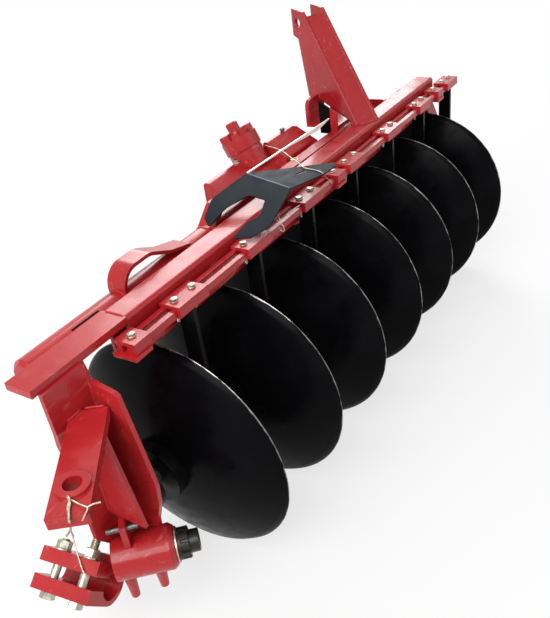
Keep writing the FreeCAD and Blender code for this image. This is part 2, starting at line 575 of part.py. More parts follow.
def hitch():
    """Two arms that carry the lower link pins, and the parking stand in its sleeve."""
    turn = Turn(V(0, 0, 1), 90 - s.travel_turn)
    ahead = V(sin(radians(s.travel_turn)), cos(radians(s.travel_turn)), 0)
    aside = V(ahead.y, -ahead.x, 0)
    middle = ahead * s.hitch_fore + aside * s.hitch_mid
    tail_pin = middle - aside * (s.hitch_spread / 2 - s.ball_room)
    front_pin = middle + aside * (s.hitch_spread / 2)
    z = s.hitch_z
    r = s.pin_collar / 2
    back = 322 - s.hitch_fore
    arm = [(back, 236), (back, 316), (back + 70, 316, 6), (back + 70, 262), (back + 190, 262, 60),
           (24, z + 44, 30), (46, z, 20), (24, z - 44, 30), (-60, z - 50, 40),
           (back + 260, 130, 80), (back + 158, 236, 40)]
    arm_plate = plate("xz", 0, 0, 0, arm, "arm_plate", holes=[(0, z, r + s.weld_gap)], gang=False)
    carried_arm = doc.addObject("Part::Compound", "Arm")
    carried_arm.Links = [arm_plate]
    carried_arm.Placement = FreeCAD.Placement(V(), turn)
    put(carried_arm, f"{tail_pin.x:.3f}", f"{tail_pin.y:.3f}", 0)
    tube = rod("x", "tube_start", "tube_y", "tube_z", "tube_dia / 2 + weld_gap",
               "tube_stop - tube_start")
    case = box("case_start", "case_rear - weld_gap", "case_top - case_deep - weld_gap",
               "case_end - case_start", "case_wide", "case_deep")
    node("hitch_arm_tail", cut([carried_arm], [tube, case]))
    pin = fused([rod("y", 0, "-arm_plate", "hitch_z", "pin_collar / 2",
                     "arm_plate + ball_room - pin_free", gang=False),
                 rod("y", 0, "0", "hitch_z", "hitch_pin / 2", "ball_room + pin_free", gang=False)])
    tail = placed([pin], f"{tail_pin.x:.3f}", f"{tail_pin.y:.3f}", 0, turn)
    y, thick = front_pin.y, 18
    front = [(42, 280, 14), (42, 350, 14), (104, 350, 20), (165, 282, 40), (y + 44, z + 60, 40),
             (y + 44, z - 44, 30), (y - 44, z - 44, 30), (90, 180, 60)]
    arm_plate = plate("yz", "front_arm", 0, 0, front, thick)
    node("hitch_arm_front", cut([arm_plate], [rod("x", "front_arm", "tube_y", "drive_z",
                                                  "drive_dia / 2 + weld_gap", thick)]))
    stub = fused([rod("y", 0, "-pin_free", "hitch_z", "hitch_pin / 2", "2 * pin_free + 5", gang=False),
                  rod("y", 0, "pin_free", "hitch_z", "pin_collar / 2", "2 * collar_long", gang=False)])
    stub = placed([stub], f"{front_pin.x:.3f}", f"{front_pin.y:.3f}", 0, turn)
    inside = box(f"front_arm + {thick} + weld_gap - 400", y - 400, -200, 400, 800, 600)
    node("hitch_pins", tail, cut([stub], [inside]))
    w = s.stand_wide
    sleeve = cut([box(-150, -16 - w - 12, 30, w + 12, w + 12, 110, gang=False)],
                 [box(-144, -16 - w - 6, 30, w, w, 110, gang=False)])
    carried("stand_sleeve", [sleeve], f"{tail_pin.x:.3f}", f"{tail_pin.y:.3f}", 0, turn)
    floor = -s.disc_dia / 2
    leg = fused([box(-143.5, -16 - w - 5.5, floor + 10, w - 1, w - 1, 180 - floor, gang=False),
                 box(-180, -16 - w - 40, floor, w + 70, w + 70, 10, gang=False)])
    carried("parking_leg", [leg], f"{tail_pin.x:.3f}", f"{tail_pin.y:.3f}", 0, turn)


def main():
    main_beam()
    front_tube()
    scraper_rails()
    scrapers()
    gang()
    side_drive()
    tail_leg()
    tail_arm()
    tail_hub()
    slit_clamp()
    hoops()
    gearbox()
    mast()
    mast_support()
    guard()
    hitch()
    doc.recompute()
    faults = [o.Label for o in doc.Objects if {"Invalid", "Error"} & set(o.State)]
    for thing in NODES:
        if thing.Shape.isNull() or not thing.Shape.isValid() or not thing.Shape.Solids:
            faults.append(f"{thing.Label}: shape")
    if faults:
        raise RuntimeError(f"failed: {faults}")
    os.makedirs("parts", exist_ok=True)
    for thing in NODES:
        thing.Shape.exportStep(f"parts/{thing.Label}.step")
        low, high = thing.Shape.BoundBox, thing.Shape.Volume
        print(f"{thing.Label}: {len(thing.Shape.Solids)} solids, {high / 1000:.0f} cm3, "
              f"x {low.XMin:.0f}..{low.XMax:.0f} y {low.YMin:.0f}..{low.YMax:.0f} "
              f"z {low.ZMin:.0f}..{low.ZMax:.0f}")


main()
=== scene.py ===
# %% [markdown]
# # A mounted disc plough, dressed for the studio
# The frame file holds every working part at its real place and size, as plain solids.  This script
# gives each part its finish, and adds what a workshop adds last: bolts, weld beads, sharpened
# rims, tie wires and the fine shapes of castings.  Pieces are laid out in millimetres and become
# metres when their mesh is made; the lamps and the camera are placed in metres.

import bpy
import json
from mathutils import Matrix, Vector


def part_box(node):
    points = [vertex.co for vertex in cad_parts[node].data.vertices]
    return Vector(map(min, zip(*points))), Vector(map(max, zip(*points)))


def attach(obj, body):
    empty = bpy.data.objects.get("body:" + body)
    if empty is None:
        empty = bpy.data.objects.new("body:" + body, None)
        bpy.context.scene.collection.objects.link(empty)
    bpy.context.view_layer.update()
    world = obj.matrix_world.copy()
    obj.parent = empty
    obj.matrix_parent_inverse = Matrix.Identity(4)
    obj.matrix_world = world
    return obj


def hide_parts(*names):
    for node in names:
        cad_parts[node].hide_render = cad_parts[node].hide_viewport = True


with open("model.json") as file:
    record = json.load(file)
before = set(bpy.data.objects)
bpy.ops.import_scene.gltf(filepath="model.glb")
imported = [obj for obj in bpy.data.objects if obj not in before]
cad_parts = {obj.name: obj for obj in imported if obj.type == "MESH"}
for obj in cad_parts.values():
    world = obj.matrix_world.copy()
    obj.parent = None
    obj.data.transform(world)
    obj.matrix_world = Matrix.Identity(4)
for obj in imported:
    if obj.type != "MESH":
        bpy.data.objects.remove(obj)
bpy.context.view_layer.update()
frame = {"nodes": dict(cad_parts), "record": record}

import json
from math import cos, pi, radians, sin, sqrt, tan

import bpy
import bmesh
import numpy as np
from mathutils import Matrix, Vector

SLOTS = {part["node"]: part["material_slot"] for part in frame["record"]["subparts"]}

# %% [markdown]
# ## One point to measure from
# A plough is laid out from its gang: every disc sits on one line.  The middle of the tail-end
# disc's rim is the zero for all places here, so that a place reads as it would on the drawing,
# in millimetres.  Only the last step of making a mesh turns them to metres.

# %% The zero point and the box of any node
disc_low, disc_high = (np.array(corner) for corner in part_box("disc_1"))
ZERO = np.array([disc_high[0], (disc_low[1] + disc_high[1]) / 2, (disc_low[2] + disc_high[2]) / 2])


def corners_of(node):
    """Lowest and highest corner of a node, in millimetres from the zero."""
    return tuple((np.array(corner) - ZERO) * 1000 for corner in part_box(node))


RIM = (corners_of("disc_1")[1] - corners_of("disc_1")[0])[2] / 2
PITCH = corners_of("disc_2")[1][0]
DISCS = sum(name.startswith("disc_") for name in frame["nodes"])
print(f"{DISCS} discs of {2 * RIM:.0f} mm, {PITCH:.0f} mm apart")

# %% [markdown]
# ## Surfaces from arrays
# Blender could make each of these shapes with its modelling operators.  Here a shape is a grid of
# points instead: two parameters run over the surface, numpy works out all points at once, and
# neighbouring points make the faces.  A few such grids, joined at their seams, make a piece.

# %% Grids to one mesh
SEAM, SLIVER = 2e-6, 1e-6  # in metres: points this close become one, edges this short go


def faces_of(rows, columns, start):
    """Quads between neighbouring rows and columns of a grid whose points begin at start."""
    here = start + np.arange(rows - 1)[:, None] * columns + np.arange(columns - 1)[None, :]
    return np.stack([here, here + 1, here + columns + 1, here + columns], axis=-1).reshape(-1, 4)


def piece(name, grids, finish, body="frame", sharp=35):
    """Join grids of shape (rows, columns, 3) into one closed, smooth-shaded mesh on a body."""
    starts = np.cumsum([0] + [g.shape[0] * g.shape[1] for g in grids])
    points = ZERO + np.concatenate([g.reshape(-1, 3) for g in grids]) / 1000
    quads = np.concatenate([faces_of(g.shape[0], g.shape[1], b) for g, b in zip(grids, starts)])
    mesh = bpy.data.meshes.new(name)
    mesh.vertices.add(len(points))
    mesh.vertices.foreach_set("co", points.astype(np.float32).ravel())
    mesh.loops.add(quads.size)
    mesh.loops.foreach_set("vertex_index", quads.astype(np.int32).ravel())
    mesh.polygons.add(len(quads))
    mesh.polygons.foreach_set("loop_start", np.arange(0, quads.size, 4, dtype=np.int32))
    mesh.update(calc_edges=True)
    work = bmesh.new()
    work.from_mesh(mesh)
    bmesh.ops.remove_doubles(work, verts=work.verts, dist=SEAM)
    bmesh.ops.dissolve_degenerate(work, edges=work.edges, dist=SLIVER)
    bmesh.ops.recalc_face_normals(work, faces=work.faces)
    work.to_mesh(mesh)
    work.free()
    mesh.shade_smooth()
    mesh.set_sharp_from_angle(angle=radians(sharp))
    mesh.materials.append(finish)
    thing = bpy.data.objects.new(name, mesh)
    bpy.context.collection.objects.link(thing)
    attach(thing, body)
    return thing


# %% [markdown]
# ## The shapes that most hardware is made of
# A turned shape is a profile swept round an axis.  A wire or a weld bead is a circle swept along
# a line.  Each starts at a local origin, and one function carries it to its place.

# %% Turned, swept and carried shapes
def turned(profile, sides=48):
    """Profile points (height, radius) swept round +Z: (radius cos a, radius sin a, height)."""
    profile = np.asarray(profile, float)
    a = np.linspace(0, 2 * pi, sides + 1)
    height, radius = profile[:, :1], profile[:, 1:]
    return np.stack([radius * np.cos(a), radius * np.sin(a), height + 0 * a], axis=-1)


def swept(line, radius, sides=10):
    """A circle carried along a line of points: line + r (cos a side + sin a lift), ends closed."""
    line = np.asarray(line, float)
    radius = np.broadcast_to(np.asarray(radius, float), len(line))
    ahead = np.gradient(line, axis=0)
    ahead /= np.linalg.norm(ahead, axis=1, keepdims=True)
    side = np.cross(ahead, np.eye(3)[np.argmin(np.abs(line[-1] - line[0]))])
    side /= np.linalg.norm(side, axis=1, keepdims=True)
    lift = np.cross(ahead, side)
    line, side, lift = (np.concatenate([v[:1], v, v[-1:]]) for v in (line, side, lift))
    radius = np.concatenate([[0], radius, [0]])[:, None, None]
    a = np.linspace(0, 2 * pi, sides + 1)[None, :, None]
    return line[:, None] + radius * (np.cos(a) * side[:, None] + np.sin(a) * lift[:, None])


def carried(grid, place, axis=(0, 0, 1), ahead=None, spin=0.0):
    """Turn a grid's +Z onto an axis and its +X ahead, after a spin about +Z, and move it."""
    lift = np.asarray(axis, float) / np.linalg.norm(axis)
    guide = np.asarray(ahead if ahead is not None else np.eye(3)[np.argmin(np.abs(lift))], float)
    side = np.cross(lift, guide)
    side /= np.linalg.norm(side)
    ahead = np.cross(side, lift)
    ahead, side = (ahead * cos(spin) + side * sin(spin), side * cos(spin) - ahead * sin(spin))
    return grid @ np.stack([ahead, side, lift]) + np.asarray(place, float)


def smooth_line(points, count=60):
    """A smooth line through a few points: Catmull-Rom blends, worked out as one array."""
    p = np.asarray(points, float)
    p = np.concatenate([[2 * p[0] - p[1]], p, [2 * p[-1] - p[-2]]])
    u = np.linspace(0, len(p) - 3 - 1e-9, count)
    i, t = u.astype(int), (u % 1)[:, None]
    a, b, c, d = (p[i + k] for k in range(4))
    return 0.5 * (2 * b + (c - a) * t + (2 * a - 5 * b + 4 * c - d) * t ** 2
                  + (3 * b - a - 3 * c + d) * t ** 3)


# %% [markdown]
# ## Finishes
# Each finish starts from the real one and how it was made.  Colours are written as they look on a
# screen (sRGB hex) and turned to linear light by one function.  One function adds a node: a
# setting names an input or a property, a link names the node that feeds an input.

# %% Colours and nodes
def linear(colour):
    """An sRGB hex colour as linear RGBA."""
    parts = np.array([int(colour[i:i + 2], 16) for i in (1, 3, 5)]) / 255
    parts = np.where(parts <= 0.04045, parts / 12.92, ((parts + 0.055) / 1.055) ** 2.4)
    return (*parts, 1.0)


def per(size_mm):
    """The pattern scale that gives blotches of about this size."""
    return 1000 / size_mm


def add(tree, kind, settings=None, links=None):
    """Add one node; inputs go by name, or by their place among those that are in use."""
    made = tree.nodes.new(kind)
    for word, value in (settings or {}).items():
        ready = [s for s in made.inputs if s.enabled]
        found = [ready[word]] if isinstance(word, int) else [s for s in ready if s.name == word]
        if found:
            found[0].default_value = value
        else:
            setattr(made, word, value)
    for word, source in (links or {}).items():
        ready = [s for s in made.inputs if s.enabled]
        goal = ready[word] if isinstance(word, int) else next(s for s in ready if s.name == word)
        if isinstance(source, bpy.types.Node):
            source = next(s for s in source.outputs if s.enabled)
        tree.links.new(source, goal)
    return made


def new_finish(name, slot, **constants):
    """An empty finish: its tree, its shader and the coordinates of the piece itself."""
    finish = bpy.data.materials.new(name)
    finish.use_nodes = True
    tree = finish.node_tree
    tree.nodes.clear()
    shader = add(tree, "ShaderNodeBsdfPrincipled",
                 {word.replace("_", " "): value for word, value in constants.items()})
    add(tree, "ShaderNodeOutputMaterial", links={"Surface": shader})
    return finish, tree, shader, add(tree, "ShaderNodeTexCoord").outputs["Object"]


def feed(tree, shader, **sources):
    """Link finished nodes to the shader's inputs by name."""
    for word, source in sources.items():
        out = next(s for s in source.outputs if s.enabled)
        tree.links.new(out, shader.inputs[word.replace("_", " ")])


# %% [markdown]
# ### Sprayed machine enamel
# The frame is sprayed with thick alkyd enamel over plate with mill scale.  It pulls into a fine
# orange peel, so lamps mirror softly; it turns paler and duller where dust has settled, and
# long thin scuffs show where chains and hands have rubbed it.

# %% Red machine enamel
def red_enamel(name, edge_mm):
    """Gloss alkyd enamel, sprayed thick over plate; edge_mm is how far it rounds an edge."""
    finish, tree, shader, own = new_finish(name, "red_paint", IOR=1.5, Specular_IOR_Level=0.25,
                                           Coat_Weight=0.2, Coat_Roughness=0.07, Coat_IOR=1.5)
    patch = add(tree, "ShaderNodeTexNoise", {"Scale": per(170), "Detail": 3.0}, {"Vector": own})
    shade = add(tree, "ShaderNodeMapRange", {"From Min": 0.35, "From Max": 0.7}, {"Value": patch})
    body = add(tree, "ShaderNodeMix", {"data_type": "RGBA", "A": linear("#A41C20"),
                                       "B": linear("#B12529")}, {"Factor": shade})
    dust = add(tree, "ShaderNodeTexNoise", {"Scale": per(40), "Detail": 7.0}, {"Vector": own})
    film = add(tree, "ShaderNodeMapRange", {"From Min": 0.55, "From Max": 0.85, "To Max": 0.3},
               {"Value": dust})
    dusty = add(tree, "ShaderNodeMix", {"data_type": "RGBA", "B": linear("#BF5B57")},
                {"Factor": film, "A": body})
    # rubbed streaks, stretched along the beam
    long = add(tree, "ShaderNodeMapping", {"Scale": (0.12, 1, 1)}, {"Vector": own})
    rub = add(tree, "ShaderNodeTexNoise", {"Scale": per(14), "Detail": 5.0, "Distortion": 1.2},
              {"Vector": long})
    scuff = add(tree, "ShaderNodeMapRange", {"From Min": 0.62, "From Max": 0.72, "To Max": 0.5},
                {"Value": rub})
    colour = add(tree, "ShaderNodeMix", {"data_type": "RGBA", "B": linear("#C77B78")},
                 {"Factor": scuff, "A": dusty})
    rough = add(tree, "ShaderNodeMapRange", {"From Min": 0.3, "From Max": 0.75, "To Min": 0.24,
                                             "To Max": 0.42}, {"Value": dust})
    edge = add(tree, "ShaderNodeBevel", {"samples": 6, "Radius": edge_mm / 1000})
    plate = add(tree, "ShaderNodeTexNoise", {"Scale": per(80), "Detail": 1.0}, {"Vector": own})
    wavy = add(tree, "ShaderNodeBump", {"Strength": 1.0, "Distance": 0.0009},
               {"Height": plate, "Normal": edge})
    peel = add(tree, "ShaderNodeTexNoise", {"Scale": per(5), "Detail": 2.0}, {"Vector": own})
    skin = add(tree, "ShaderNodeBump", {"Strength": 1.0, "Distance": 0.00012},
               {"Height": peel, "Normal": wavy})
    feed(tree, shader, Base_Color=colour, Roughness=rough, Normal=skin, Coat_Normal=skin)
    return finish


RED = red_enamel("sprayed_red_enamel", 1.4)
# the mast's plates are bent, not cut, so their edges turn over a wide radius
FOLDED = red_enamel("red_enamel_over_folds", 9)

# %% [markdown]
# ### Dipped black enamel on the discs
# The discs are dipped in bitumen-based black and hung to dry, so they are glossy and slightly
# wavy, with dull patches of dust.  The ground edge of each is bare, bright steel, and the dip has
# chipped back a little from it.

# %% Black dip enamel, with and without a ground rim
def black_enamel(name, dark, pale, gloss, rim_mm=None):
    """Bitumen black, dipped and hung to dry; rim_mm is the radius of a disc's bare ground edge."""
    finish, tree, shader, own = new_finish(name, "black_enamel", IOR=1.5, Specular_IOR_Level=gloss)
    cloud = add(tree, "ShaderNodeTexNoise", {"Scale": per(110), "Detail": 6.0}, {"Vector": own})
    film = add(tree, "ShaderNodeMapRange", {"From Min": 0.45, "From Max": 0.78}, {"Value": cloud})
    colour = add(tree, "ShaderNodeMix", {"data_type": "RGBA", "A": linear(dark),
                                         "B": linear(pale)}, {"Factor": film})
    grain = add(tree, "ShaderNodeTexNoise", {"Scale": per(30), "Detail": 6.0}, {"Vector": own})
    rough = add(tree, "ShaderNodeMapRange", {"From Min": 0.35, "From Max": 0.75, "To Min": 0.2,
                                             "To Max": 0.4}, {"Value": grain})
    if rim_mm:
        middle = add(tree, "ShaderNodeMapping", {"Location": (0, -ZERO[1], -ZERO[2])},
                     {"Vector": own})
        spoke = add(tree, "ShaderNodeVectorMath", {"operation": "MULTIPLY", 1: (0, 1, 1)},
                    {0: middle})
        radius = add(tree, "ShaderNodeVectorMath", {"operation": "LENGTH"}, {0: spoke})
        # the grain adds some 3 mm to the distance from the shaft, so the bare steel starts about
        # 1.5 mm inside the rim, and unevenly
        chips = add(tree, "ShaderNodeMath", {"operation": "MULTIPLY_ADD", 1: 0.006},
                    {0: grain, 2: radius})
        bare = add(tree, "ShaderNodeMapRange", {"From Min": rim_mm / 1000 + 0.0014,
                                                "From Max": rim_mm / 1000 + 0.0026},
                   {"Value": chips})
        colour = add(tree, "ShaderNodeMix", {"data_type": "RGBA", "B": linear("#8C8983")},
                     {"Factor": bare, "A": colour})
        feed(tree, shader, Metallic=bare)
    ripple = add(tree, "ShaderNodeTexNoise", {"Scale": per(90), "Detail": 1.0}, {"Vector": own})
    wavy = add(tree, "ShaderNodeBump", {"Strength": 1.0, "Distance": 0.0008}, {"Height": ripple})
    runs = add(tree, "ShaderNodeTexNoise", {"Scale": per(7), "Detail": 2.0}, {"Vector": own})
    skin = add(tree, "ShaderNodeBump", {"Strength": 1.0, "Distance": 0.00006},
               {"Height": runs, "Normal": wavy})
    feed(tree, shader, Base_Color=colour, Roughness=rough, Normal=skin)
    return finish


BLACK = black_enamel("black_dip_enamel", "#09090B", "#131315", 0.1)
FORGED = black_enamel("oil_blacked_forging", "#1F1C1A", "#302B28", 0.3)
DISC = black_enamel("black_dip_enamel_ground_rim", "#08080A", "#101012", 0.035, RIM)

# %% [markdown]
# ### Zinc-plated and turned steel
# Bolts and nuts are plated with bright zinc, slightly yellow from the chromate bath.  Shafts and
# pins are turned and left bare: a little darker, with oily patches.  Tie wire is galvanised.

# %% Steel finishes
def steel(name, pale, dark, low, high):
    """Plated or turned steel, oily in patches; low and high are the limits of its roughness."""
    finish, tree, shader, own = new_finish(name, "bare_steel", Metallic=0.92)
    patch = add(tree, "ShaderNodeTexNoise", {"Scale": per(9), "Detail": 5.0}, {"Vector": own})
    shade = add(tree, "ShaderNodeMapRange", {"From Min": 0.35, "From Max": 0.7}, {"Value": patch})
    colour = add(tree, "ShaderNodeMix", {"data_type": "RGBA", "A": linear(pale), "B": linear(dark)},
                 {"Factor": shade})
    film = add(tree, "ShaderNodeTexNoise", {"Scale": per(5), "Detail": 4.0}, {"Vector": own})
    rough = add(tree, "ShaderNodeMapRange", {"From Min": 0.3, "From Max": 0.7, "To Min": low,
                                             "To Max": high}, {"Value": film})
    edge = add(tree, "ShaderNodeBevel", {"samples": 4, "Radius": 0.0005})
    grit = add(tree, "ShaderNodeTexNoise", {"Scale": per(2), "Detail": 2.0}, {"Vector": own})
    skin = add(tree, "ShaderNodeBump", {"Strength": 1.0, "Distance": 0.00004},
               {"Height": grit, "Normal": edge})
    feed(tree, shader, Base_Color=colour, Roughness=rough, Normal=skin)
    return finish


ZINC = steel("chromated_zinc_plate", "#C2BEAF", "#8B8775", 0.25, 0.45)
# a paler zinc for the flat strip beside the guard: a painted highlight along its lit edge
ZINC_PAINTED_HIGHLIGHT = steel("zinc_strip_painted_highlight", "#ECEAE4", "#DAD6CC", 0.3, 0.45)
TURNED = steel("oiled_turned_steel", "#77746F", "#4F4D49", 0.3, 0.55)
WIRE = steel("galvanised_tie_wire", "#CBC6B2", "#A39E8A", 0.35, 0.55)

# %% [markdown]
# ### Blue-grey sheet
# The guard is one thin folded sheet in a satin blue-grey.  Satin paint scatters the lamps widely,
# so the sheet looks paler where it faces up; along the fold a paler grey is painted on as a
# highlight.

# %% Satin blue-grey paint
def grey_satin(name, dark, pale):
    """Satin machine paint on thin sheet, with slow dents in the sheet under it."""
    finish, tree, shader, own = new_finish(name, "grey_sheet", IOR=1.5, Specular_IOR_Level=0.03)
    cloud = add(tree, "ShaderNodeTexNoise", {"Scale": per(90), "Detail": 4.0}, {"Vector": own})
    shade = add(tree, "ShaderNodeMapRange", {"From Min": 0.35, "From Max": 0.7}, {"Value": cloud})
    colour = add(tree, "ShaderNodeMix", {"data_type": "RGBA", "A": linear(dark),
                                         "B": linear(pale)}, {"Factor": shade})
    rub = add(tree, "ShaderNodeTexNoise", {"Scale": per(25), "Detail": 6.0}, {"Vector": own})
    rough = add(tree, "ShaderNodeMapRange", {"From Min": 0.3, "From Max": 0.75, "To Min": 0.38,
                                             "To Max": 0.55}, {"Value": rub})
    edge = add(tree, "ShaderNodeBevel", {"samples": 4, "Radius": 0.0006})
    dent = add(tree, "ShaderNodeTexNoise", {"Scale": per(120), "Detail": 1.0}, {"Vector": own})
    skin = add(tree, "ShaderNodeBump", {"Strength": 1.0, "Distance": 0.0012},
               {"Height": dent, "Normal": edge})
    feed(tree, shader, Base_Color=colour, Roughness=rough, Normal=skin)
    return finish


GREY = grey_satin("satin_blue_grey_sheet", "#171E25", "#20282F")
# a paler grey for the rod along the guard's fold: a painted highlight on the bend
FOLD_HIGHLIGHT = grey_satin("blue_grey_fold_painted_highlight", "#66727B", "#808B94")

# %% [markdown]
# ### Which finish goes where
# The frame names a slot for every node, and each slot has one finish.  A few nodes differ from the
# rest of their slot: bent plates, and pins and shafts that are turned rather than plated.

# %% Dress the frame's own nodes
BY_SLOT = {"red_paint": RED, "black_enamel": BLACK, "bare_steel": ZINC, "grey_sheet": GREY}
OWN_FINISH = {"mast_sides": FOLDED, "tail_pin": TURNED, "gang_shaft": TURNED,
              "hitch_pins": TURNED}
for name, thing in frame["nodes"].items():
    thing.data.materials.clear()
    thing.data.materials.append(OWN_FINISH.get(name, BY_SLOT[SLOTS[name]]))
print("dressed:", len(frame["nodes"]), "nodes")

# %% [markdown]
# ## The seven discs
# A plough disc is pressed hot from boron steel: a flat seat round the shaft, a dish that is part of
# a ball, and an outer edge ground to a slope on the back.  It could be cut from a sphere, but a
# profile turned round the shaft gives the seat, the dish and the slope in one clean surface.

# %% Turn one disc and repeat it along the shaft
BALL, SEAT, THICK, SLOPE, BORE = 600.0, 80.0, 6.0, 9.0, 25.0


def disc_shape():
    """Hollow side: x = sqrt(B^2 - R^2) - sqrt(B^2 - r^2); back: the same, one thickness behind."""
    centre = sqrt(BALL ** 2 - RIM ** 2)
    out = np.linspace(SEAT, RIM, 34)
    back = np.linspace(RIM - SLOPE, SEAT, 30)
    seat = centre - sqrt(BALL ** 2 - SEAT ** 2)
    front = np.stack([centre - np.sqrt(BALL ** 2 - out ** 2), out], axis=1)
    behind = np.stack([centre - np.sqrt(BALL ** 2 - back ** 2) - THICK, back], axis=1)
    start, end = np.array([[seat, BORE]]), np.array([[seat - THICK, BORE]])
    outline = np.concatenate([start, front, behind, end, start])
    return carried(turned(outline, 160), (0, 0, 0), (1, 0, 0))


one_disc = disc_shape()
for k in range(DISCS):
    disc = piece(f"dished_disc_{k + 1}", [one_disc + (k * PITCH, 0, 0)], DISC, "gang")
    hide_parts(f"disc_{k + 1}")
print(f"{DISCS} discs, {len(disc.data.polygons)} faces each")

# %% [markdown]
# ## Hexagon bolts, nuts and washers
# A hexagon head is forged, then its top is chamfered by a cone, which leaves the round line that
# every bolt head has.  The formula gives both: the radius of a hexagon changes with the angle, and
# the cone cuts its corners down.

# %% Heads, nuts and washers as grids
def hexagon(flats, high, sides=48):
    """r = (flats / 2) / cos(angle from the nearest flat); a 30-degree cone lowers the corners."""
    a = np.linspace(0, 2 * pi, sides + 1)
    rim = flats / 2 / np.cos((a + pi / 6) % (pi / 3) - pi / 6)
    inner = np.full_like(a, 0.475 * flats)
    radius = np.stack([0 * a, rim, rim, inner, 0 * a])
    height = np.stack([0 * a, 0 * a, high - (rim - inner) * tan(pi / 6), high + 0 * a,
                       high + 0 * a])
    return np.stack([radius * np.cos(a), radius * np.sin(a), height], axis=-1)


def washer(bolt):
    """A flat ring under a head: a turned rectangle."""
    inner, outer, high = bolt / 2, bolt * 1.02, bolt * 0.2
    return turned([(0, inner), (0, outer), (high * 0.7, outer), (high, outer - 0.4),
                   (high, inner), (0, inner)], 32)


POINT, CHAMFER = 1.5, 1.3  # length of a bolt's point, and how much it takes off the radius


def shank(bolt, long):
    """A plain shank whose radius falls by the chamfer over the length of the point."""
    return turned([(0, 0), (0, bolt / 2), (long - POINT, bolt / 2), (long, bolt / 2 - CHAMFER),
                   (long, 0)], 20)


def thread(bolt, long, pitch=1.75):
    """A threaded end: the radius steps in and out once every pitch."""
    steps = np.arange(0, long - POINT, pitch / 2)
    radius = bolt / 2 - 0.55 * pitch * (np.arange(len(steps)) % 2)
    return turned(np.concatenate([[(0, 0)], np.stack([steps, radius], axis=1),
                                  [(long, bolt / 2 - CHAMFER), (long, 0)]]), 20)


def bolt_head(bolt, flats, high, place, axis=(0, 0, 1), spin=0.0):
    """A washer with a head on it, standing on a face along an axis."""
    seat = np.asarray(place) + 0.2 * bolt * np.asarray(axis)
    return [carried(washer(bolt), place, axis),
            carried(hexagon(flats, high), seat, axis, spin=spin)]


def bolt_end(bolt, flats, high, reach, place, axis=(0, 0, -1), spin=0.0):
    """A washer, a nut and the threaded end of a bolt, standing out of a face by a reach."""
    return [*bolt_head(bolt, flats, high, place, axis, spin),
            carried(thread(bolt, reach), place, axis)]


# %% [markdown]
# ## Bolts on the scraper clamps
# Each clamp is a short channel over both rails.  Two bolts go down between the rails and draw a
# plate with the scraper's bar up against them, so their nuts and ends hang below.

# %% Clamp and strap bolts
clamp_low, clamp_high = corners_of("scraper_clamps")
rail_low, rail_high = corners_of("scraper_rails")
between = (rail_low[1] + rail_high[1]) / 2
heads, spins = [], np.random.default_rng(4).uniform(0, 1, 40)
BOLT, FLATS, HEAD, NUT = 9, 15, 4.5, 7  # diameter, width of the hexagon, heights of head and nut
REACH = 24                              # how far a bolt's end hangs below the rail
HALF_CLAMP, HALF_PAIR, HALF_STRAP, MIDDLE_STRAP = 46.5, 28, 22.5, 669
CLAMP_MID = clamp_low[0] + HALF_CLAMP
for k in range(DISCS):
    for j, side in enumerate((-HALF_PAIR, HALF_PAIR)):
        x, turn = CLAMP_MID + k * PITCH + side, 2 * k + j
        heads += bolt_head(BOLT, FLATS, HEAD, (x, between, clamp_high[2]), spin=spins[turn])
        heads += bolt_end(BOLT, FLATS, NUT, REACH, (x, between, rail_low[2]), spin=spins[turn + 7])
strap_low, strap_high = corners_of("rail_straps")
for j, x in enumerate((strap_low[0] + HALF_STRAP, MIDDLE_STRAP + HALF_STRAP,
                       strap_high[0] - HALF_STRAP)):
    heads += bolt_head(BOLT, FLATS, HEAD, (x, between, strap_high[2]), spin=spins[20 + j])
piece("scraper_clamp_bolts", heads, ZINC)
print("clamp bolts:", 2 * DISCS + 3)

# %% [markdown]
# ## The tail wheel's clamp
# Two long M18 bolts draw the slit block about the wheel's shank.  The bolts of such a clamp are cut
# long, so their ends stand well proud of the nuts; zinc keeps the thread free.  The empty bore
# shows that the shank is taken out.

# %% Long bolts through the slit block
jaw_turn, jaw_roll = radians(8.5), radians(34.5)
JAW = np.array([-315.3, -57.1, -80.0])
ALONG = np.array([-sin(jaw_turn), cos(jaw_turn), 0])
LIFT = np.array([cos(jaw_turn) * cos(jaw_roll), sin(jaw_turn) * cos(jaw_roll), sin(jaw_roll)])
ASIDE = np.cross(LIFT, ALONG)
BOLT_LINE = 41   # aside from the block's own line
FACE = 40.2      # from that line to the block's upper or lower face
WASHER = 3.4     # its height, which lifts the nut off the face
BELOW, ABOVE = 53, 32  # where the shank starts under that line, and where the thread shows
long_bolts = []
for x, proud, spin in ((45, 38, 0.3), (113, 22, 0.8)):
    spot = JAW + ALONG * x + ASIDE * BOLT_LINE
    long_bolts += [
        carried(shank(18, 93), spot - LIFT * BELOW, LIFT),
        carried(hexagon(27, 12.5), spot - LIFT * FACE, -LIFT, spin=spin),
        carried(washer(17), spot + LIFT * FACE, LIFT),
        carried(hexagon(27, 15.5), spot + LIFT * (FACE + WASHER), LIFT, spin=spin + 0.4),
        carried(thread(18, proud + 8, 2.5), spot + LIFT * ABOVE, LIFT)]
clamp_bolts = piece("long_clamp_bolts", long_bolts, ZINC)
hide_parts("clamp_bolts")

# %% [markdown]
# ## The tail wheel's hub
# The hub is turned from a dark forging and slotted like a castle nut, so that the wheel's centre
# can lock into it.  A bright sealing lip shows between it and the red housing.

# %% Hub with its slots, as one radius over angle and height
HUB = np.array([-199.0, -130.0, -44.0])
OUT = np.array([cos(radians(47)), -sin(radians(47)), 0])


